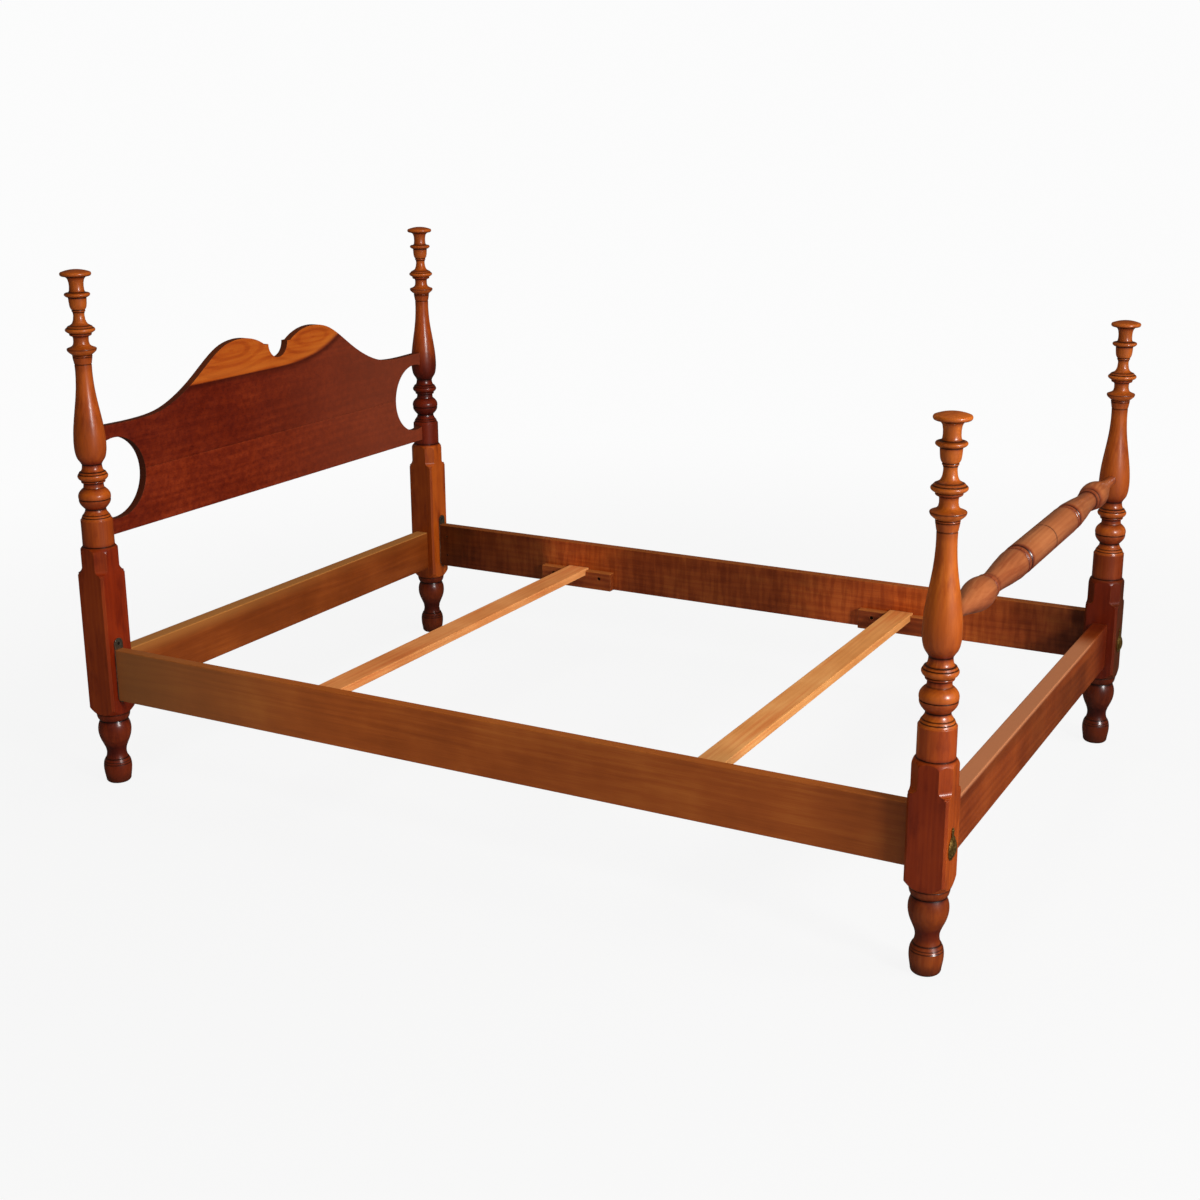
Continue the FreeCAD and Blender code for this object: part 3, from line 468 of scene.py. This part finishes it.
low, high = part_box("head_rail")
head_pith = (0.3, low.y - 0.11, low.z + 0.02)
wood = rail_wood("head_rail_wood", "X", head_pith,
                 stain(108, 50, 17), stain(127, 60, 21), stain(146, 73, 28))
tree = wood.tree
along_rail = axis_place(wood, "X")
faded_strip = maths(tree, "MULTIPLY", between(tree, axis_place(wood, "Z"), *faded_heights),
                    between(tree, along_rail, *faded_length, out_low=0.2, out_high=0.75))
tint(wood, faded_strip, stain(166, 106, 52))
shaded_end = between(tree, along_rail, *shaded_length, out_high=0.35)
tint(wood, shaded_end, stain(196, 184, 180), "MULTIPLY")
# Bleached top with a painted sheen
bleached_and_sheened_top(wood, high.z, stain(178, 116, 60))
dress("head_rail", varnish(wood, stain(186, 116, 58), roughness=0.48, coat=0.25))

low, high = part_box("foot_rail")
foot_pith = (-0.2, low.y - 0.09, high.z + 0.03)
wood = rail_wood("foot_rail_wood", "X", foot_pith,
                 stain(106, 43, 16), stain(128, 57, 21), stain(148, 71, 29))
tree = wood.tree
along_rail = axis_place(wood, "X")
near_edge = between(tree, axis_place(wood, "Z"), *upper_edge_heights)
tone = mix(tree, near_edge, shading(tree, along_rail, face_tone), shading(tree, along_rail, edge_tone))
tint(wood, 1.0, tone, "MULTIPLY")
# Bleached top with a painted sheen, fading out towards the right end
sunned_and_sheened_part = between(tree, along_rail, *sunned_and_sheened_length, out_high=0.85)
bleached_and_sheened_top(wood, high.z, stain(182, 117, 80), sunned_and_sheened_part, depth=0.010)
# Painted shade darkens the rail's end next to the right foot post
shadowed_end = between(tree, along_rail, *shadowed_length, out_high=0.8)
tint(wood, shadowed_end, stain(160, 96, 72), "MULTIPLY")
dress("foot_rail", varnish(wood, stain(206, 124, 60), roughness=0.46, coat=0.3))

# Blanket roll
# One turned bar between the foot posts, to hang a folded blanket on, with a tenon in each post.
# It is a lighter, pinker piece of wood than the posts, with stain left in its scribed lines.
underside_shade_start = 0.016
underside_shade_end = -0.020
# Lines and hollows count from the middle of the bar, and are alike on both halves
roll_lines = ((0.0, 0.0050, 0.9), (0.1885, 0.0054, 1.0), (0.2115, 0.0054, 1.0), (0.3995, 0.0040, 1.0),
              (0.4210, 0.0040, 1.0))
# The hollows hold stain and painted shade
roll_hollow_stain_and_shade = ((0.0, 0.1), (0.020, 0.0), (0.170, 0.0), (0.188, 0.8), (0.200, 0.5), (0.212, 0.8),
                (0.230, 0.1), (0.380, 0.15), (0.400, 0.7), (0.410, 0.5), (0.421, 0.7), (0.440, 0.0),
                (0.560, 0.15), (0.640, 0.6))
low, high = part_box("blanket_roll")
roll_centre = (low + high) / 2
roll_pith = (0.2, roll_centre.y + 0.012, roll_centre.z + 0.016)
wood = start_wood("blanket_roll_wood", "X", roll_pith,
                  stain(146, 80, 46), stain(164, 95, 56), stain(180, 111, 67),
                  ring_share=0.06, fibre_share=0.24, streak_share=0.24)
tree = wood.tree
from_middle = maths(tree, "ABSOLUTE", axis_place(wood, "X"))
# Painted shade darkens the underside of the bar
underside_shade = between(tree, axis_place(wood, "Z"), roll_centre.z + underside_shade_start,
                    roll_centre.z + underside_shade_end, out_high=0.75)
tint(wood, underside_shade, stain(176, 112, 88), "MULTIPLY")
streaked = between(tree, wood.streaks, 0.50, 0.64, out_high=0.5)
tint(wood, streaked, stain(196, 150, 130), "MULTIPLY")
# Stain and painted shade darken the hollows, and stain darkens the scribed lines
tint(wood, shading(tree, from_middle, roll_hollow_stain_and_shade), hollow_stain_and_shade, "MULTIPLY")
tint(wood, scribed(tree, from_middle, roll_lines), line_stain)
dress("blanket_roll", varnish(wood, stain(206, 136, 80), coat=0.9, edge_radius=0.0014, edge_wear=0.0))

# Side rails
# Two long hardwood boards, hooked to the head posts and bolted to the foot posts. The left one is plain
# and has faded to olive brown towards the head, and the right one is curly, with dark red stain in clouds.
olive_length = (0.2, 0.95)
cloud_reach = 0.4
# Tones by place along the rail, from the foot to the head, with painted shade darkening both ends by the
# posts
left_tone_and_shade = ((-0.98, 0.40), (-0.90, 0.55), (-0.72, 0.70), (-0.30, 0.69), (0.0, 0.78), (0.40, 0.95),
             (0.70, 0.84), (0.96, 0.54))
right_tone_and_shade = ((-0.98, 0.22), (-0.88, 0.35), (-0.70, 0.70), (-0.50, 1.0), (-0.30, 0.85), (-0.10, 0.48),
              (0.10, 0.46), (0.32, 0.50), (0.50, 0.90), (0.68, 0.32), (0.86, 0.28), (0.97, 0.16))
low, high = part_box("side_rail_left")
left_pith = (low.x - 0.06, 0.4, low.z + 0.03)
wood = rail_wood("side_rail_left_wood", "Y", left_pith,
                 stain(158, 76, 28), stain(182, 90, 34), stain(202, 110, 44))
tree = wood.tree
along_rail = axis_place(wood, "Y")
# Tone along the rail, with painted shade at both ends
tint(wood, 1.0, shading(tree, along_rail, left_tone_and_shade), "MULTIPLY")
tint(wood, between(tree, along_rail, *olive_length, out_high=0.45), stain(146, 104, 62))
# Bleached top with a painted sheen
bleached_and_sheened_top(wood, high.z, stain(150, 84, 38), 0.5)
dress("side_rail_left", varnish(wood, stain(186, 116, 58), roughness=0.48, coat=0.25))

low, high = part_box("side_rail_right")
right_pith = (low.x - 0.10, -0.3, high.z + 0.02)
wood = rail_wood("side_rail_right_wood", "Y", right_pith,
                 stain(150, 62, 23), stain(186, 86, 35), stain(208, 108, 46))
tree = wood.tree
clouds = maths(tree, "SUBTRACT", noise(tree, wood.place, 7.0, detail=3.0, roughness=0.6), 0.5)
cloudy_length = maths(tree, "MULTIPLY_ADD", clouds, cloud_reach, axis_place(wood, "Y"))
# Tone along the rail, shifted by clouds of stain, with painted shade at both ends
tint(wood, 1.0, shading(tree, cloudy_length, right_tone_and_shade), "MULTIPLY")
curl_place = drawn_out(tree, wood.place, Y=0.045, Z=0.30)
curl = between(tree, noise(tree, curl_place, 3.4, detail=3.0, roughness=0.55), 0.38, 0.62)
tint(wood, maths(tree, "MULTIPLY", curl, 0.45), stain(176, 132, 110), "MULTIPLY")
# Bleached top with a painted sheen
bleached_and_sheened_top(wood, high.z, stain(150, 84, 40), 0.6)
dress("side_rail_right", varnish(wood, stain(150, 80, 38), roughness=0.46, coat=0.3))

# Slat cleats and slats
# Four notched hardwood cleats screwed inside the side rails, and two loose softwood slats that drop in.
# The cleats have the rails' stain, and the slats only a thin coat of shellac over their red streaks.
slat_stains = {
    "head": (stain(204, 122, 66), stain(222, 142, 82), stain(234, 162, 100)),
    "foot": (stain(198, 125, 67), stain(216, 145, 83), stain(228, 165, 101)),
}
for end in ("head", "foot"):
    for hand in ("left", "right"):
        cleat = "slat_cleat_" + end + "_" + hand
        low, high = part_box(cleat)
        cleat_pith = (low.x + 0.05, low.y, low.z - 0.04)
        wood = rail_wood(cleat + "_wood", "Y", cleat_pith,
                         stain(92, 38, 17), stain(128, 58, 27), stain(158, 82, 38))
        # Bleached top with a painted sheen
        bleached_and_sheened_top(wood, high.z, stain(190, 112, 54), 0.6)
        dress(cleat, varnish(wood, stain(190, 118, 60), roughness=0.48, coat=0.2))
    slat = "slat_" + end
    low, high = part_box(slat)
    slat_pith = (0.1, low.y - 0.07, low.z - 0.05)
    wood = rail_wood(slat + "_wood", "X", slat_pith, *slat_stains[end])
    red_streaks = between(wood.tree, wood.streaks, 0.52, 0.66, out_high=0.5)
    tint(wood, red_streaks, stain(232, 176, 146), "MULTIPLY")
    dress(slat, varnish(wood, stain(232, 184, 124), roughness=0.46, coat=0.05))

# Hook joint at the head
# Slotted steel plates are screwed to the head posts, and steel hooks pinned into the rails drop into them.
# Plates and hooks are plain steel gone dull in patches, and the screws and pins are nearly black.


def metal(name, dark, middle, light, roughness, fleck_scale=60.0, metallic=1.0):
    # Tarnish in blooms, fine scratches, and edges rubbed bright
    edge_radius = 0.0006
    material = new_material(name)
    tree = material.node_tree
    place = add(tree, "TexCoord", {}).outputs["Object"]
    bloom = noise(tree, place, fleck_scale, detail=5.0, roughness=0.65)
    scratches = noise(tree, place, fleck_scale * 14)
    tone = maths(tree, "MULTIPLY_ADD", scratches, 0.3, maths(tree, "MULTIPLY", bloom, 0.7))
    colour = ramp(tree, tone, [(0.36, dark), (0.50, middle), (0.64, light)])
    eased, agreement = eased_edges(tree, edge_radius)
    colour = mix(tree, between(tree, agreement, 0.99, 0.90, out_high=0.7), colour, light)
    uneven = between(tree, tone, 0.35, 0.65, roughness + 0.15, roughness - 0.06)
    bump = add(tree, "Bump", {"Strength": 0.25, "Distance": 0.0003, "Height": bloom, "Normal": eased})
    set_surface(tree, {
        "Base Color": colour,
        "Roughness": uneven,
        "Normal": bump.outputs["Normal"],
        "Metallic": metallic,
    })
    return material


plate_steel = metal("plate_steel", stain(92, 90, 76), stain(136, 136, 122), stain(184, 184, 170), 0.42)
dark_steel = metal("dark_steel", stain(34, 28, 24), stain(62, 54, 48), stain(112, 104, 96), 0.45)
for hand in ("left", "right"):
    dress("post_hook_plate_" + hand, plate_steel)
    dress("rail_hook_" + hand, plate_steel)
for small_steel in ("post_plate_screws", "rail_hook_pins", "cleat_screws"):
    dress(small_steel, dark_steel)

# Bolt joint at the foot
# A steel bed bolt through each foot post pulls the rail up to the post by a square nut let into the rail.
# A dowel under each bolt and one over it keep the rail from turning.
for hand in ("left", "right"):
    dress("bed_bolt_" + hand, dark_steel)
    dress("bed_bolt_nut_" + hand, dark_steel)
low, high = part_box("side_rail_dowels")
dowel_pith = (low.x, 0.0, low.z - 0.03)
wood = start_wood("dowel_wood", "Y", dowel_pith,
                  stain(178, 128, 78), stain(204, 160, 108), stain(222, 184, 136))
dress("side_rail_dowels", varnish(wood, stain(228, 192, 146), roughness=0.55, coat=0.0))

# Bolt covers
# Two oval stamped brass covers, each hung from a pin by its ear so that it swings off the bolt head.
# The brass has tarnished to a greenish brown in fine flecks, and is bright where its edges are rubbed.
brass = metal("antique_brass", stain(76, 54, 24), stain(126, 96, 46), stain(200, 168, 100), 0.32,
              fleck_scale=160.0, metallic=0.85)
for hand in ("left", "right"):
    dress("bolt_cover_" + hand, brass)
    dress("bolt_cover_pin_" + hand, brass)

# Floor, light and camera
# A pale seamless floor, seen from the foot's left corner at standing height. One small lamp gives the
# highlights, and four wide ones that the varnish doesn't mirror soften the shadows.
floor_size = 60.0
floor_drop = 0.0005
backdrop_paint = (0.97, 0.97, 0.97, 1.0)
fade_reach = (1.2, 4.2)
bpy.ops.object.select_all(action="DESELECT")
bpy.ops.mesh.primitive_plane_add(size=floor_size, location=(0.0, 0.0, -floor_drop))
floor = bpy.context.object
floor.name = "floor"
floor_paint = new_material("floor_paint")
tree = floor_paint.node_tree
set_surface(tree, {"Base Color": (0.55, 0.55, 0.54, 1.0), "Roughness": 0.9, "Specular IOR Level": 0.1})
# The camera sees the floor fade into the backdrop, and light meets its paint alone
far_floor = add(tree, "Emission", {"Color": backdrop_paint})
floor_place = add(tree, "TexCoord", {}).outputs["Object"]
floor_reach = vector_maths(tree, "LENGTH", floor_place)
seen = add(tree, "LightPath", {}).outputs["Is Camera Ray"]
faded = maths(tree, "MULTIPLY", between(tree, floor_reach, *fade_reach, out_low=0.92), seen)
painted_floor = tree.nodes["Principled BSDF"]
seamless = add(tree, "MixShader", {0: faded, 1: painted_floor.outputs[0], 2: far_floor.outputs[0]})
tree.links.new(seamless.outputs[0], tree.nodes["Material Output"].inputs[0])
floor.data.materials.append(floor_paint)
floor.visible_glossy = False

world = bpy.data.worlds.new("studio")
world.use_nodes = True
tree = world.node_tree
room_light = tree.nodes["Background"]
room_light.inputs["Color"].default_value = (1.0, 0.82, 0.64, 1.0)
room_light.inputs["Strength"].default_value = 0.06
backdrop = add(tree, "Background", {"Color": backdrop_paint})
seen = add(tree, "LightPath", {}).outputs["Is Camera Ray"]
either = add(tree, "MixShader", {0: seen, 1: room_light.outputs[0], 2: backdrop.outputs[0]})
tree.links.new(either.outputs[0], tree.nodes["World Output"].inputs[0])
bpy.context.scene.world = world

view_yaw = math.radians(28.34)
view_pitch = math.radians(15.757)
view_roll = math.radians(0.267)
camera_place = Vector((-3.5699, -1.8928, 1.6150))
view_line = Vector((math.cos(view_pitch) * math.cos(view_yaw), math.cos(view_pitch) * math.sin(view_yaw),
                    -math.sin(view_pitch)))
image_size = 1200
focal_pixels = 1727.2
centre_pixel = (608.9, 576.9)
camera_data = bpy.data.cameras.new("camera")
camera_data.sensor_width = 36.0
camera_data.lens = camera_data.sensor_width * focal_pixels / image_size
camera_data.shift_x = (image_size / 2 - centre_pixel[0]) / image_size
camera_data.shift_y = (centre_pixel[1] - image_size / 2) / image_size
camera = bpy.data.objects.new("camera", camera_data)
camera.location = camera_place
level_view = view_line.to_track_quat("-Z", "Y")
camera.rotation_euler = (level_view @ Quaternion((0.0, 0.0, 1.0), -view_roll)).to_euler()
bpy.context.scene.collection.objects.link(camera)
bpy.context.scene.camera = camera

# Each lamp has a name, a place, a width and a power, and is mirrored in the varnish or not
lamps = (
    ("key_lamp", (-1.8, -4.3, 2.1), 0.7, 145.0, True),
    ("foot_lamp", (0.8, -6.0, 2.4), 3.0, 185.0, False),
    ("fill_lamp", (-5.2, -0.6, 2.0), 3.0, 48.0, False),
    ("top_lamp", (0.0, -0.4, 4.4), 3.0, 76.0, False),
    ("back_lamp", (1.6, 5.2, 1.5), 3.0, 45.0, False),
)
lamp_aim = Vector((0.0, 0.0, 0.5))
for lamp_name, lamp_place, lamp_size, lamp_power, mirrored in lamps:
    lamp_data = bpy.data.lights.new(lamp_name, "AREA")
    lamp_data.size = lamp_size
    lamp_data.energy = lamp_power
    lamp = bpy.data.objects.new(lamp_name, lamp_data)
    lamp.location = lamp_place
    lamp.rotation_euler = (lamp_aim - Vector(lamp_place)).to_track_quat("-Z", "Y").to_euler()
    lamp.visible_glossy = mirrored
    bpy.context.scene.collection.objects.link(lamp)
bpy.context.scene.view_settings.view_transform = "Standard"
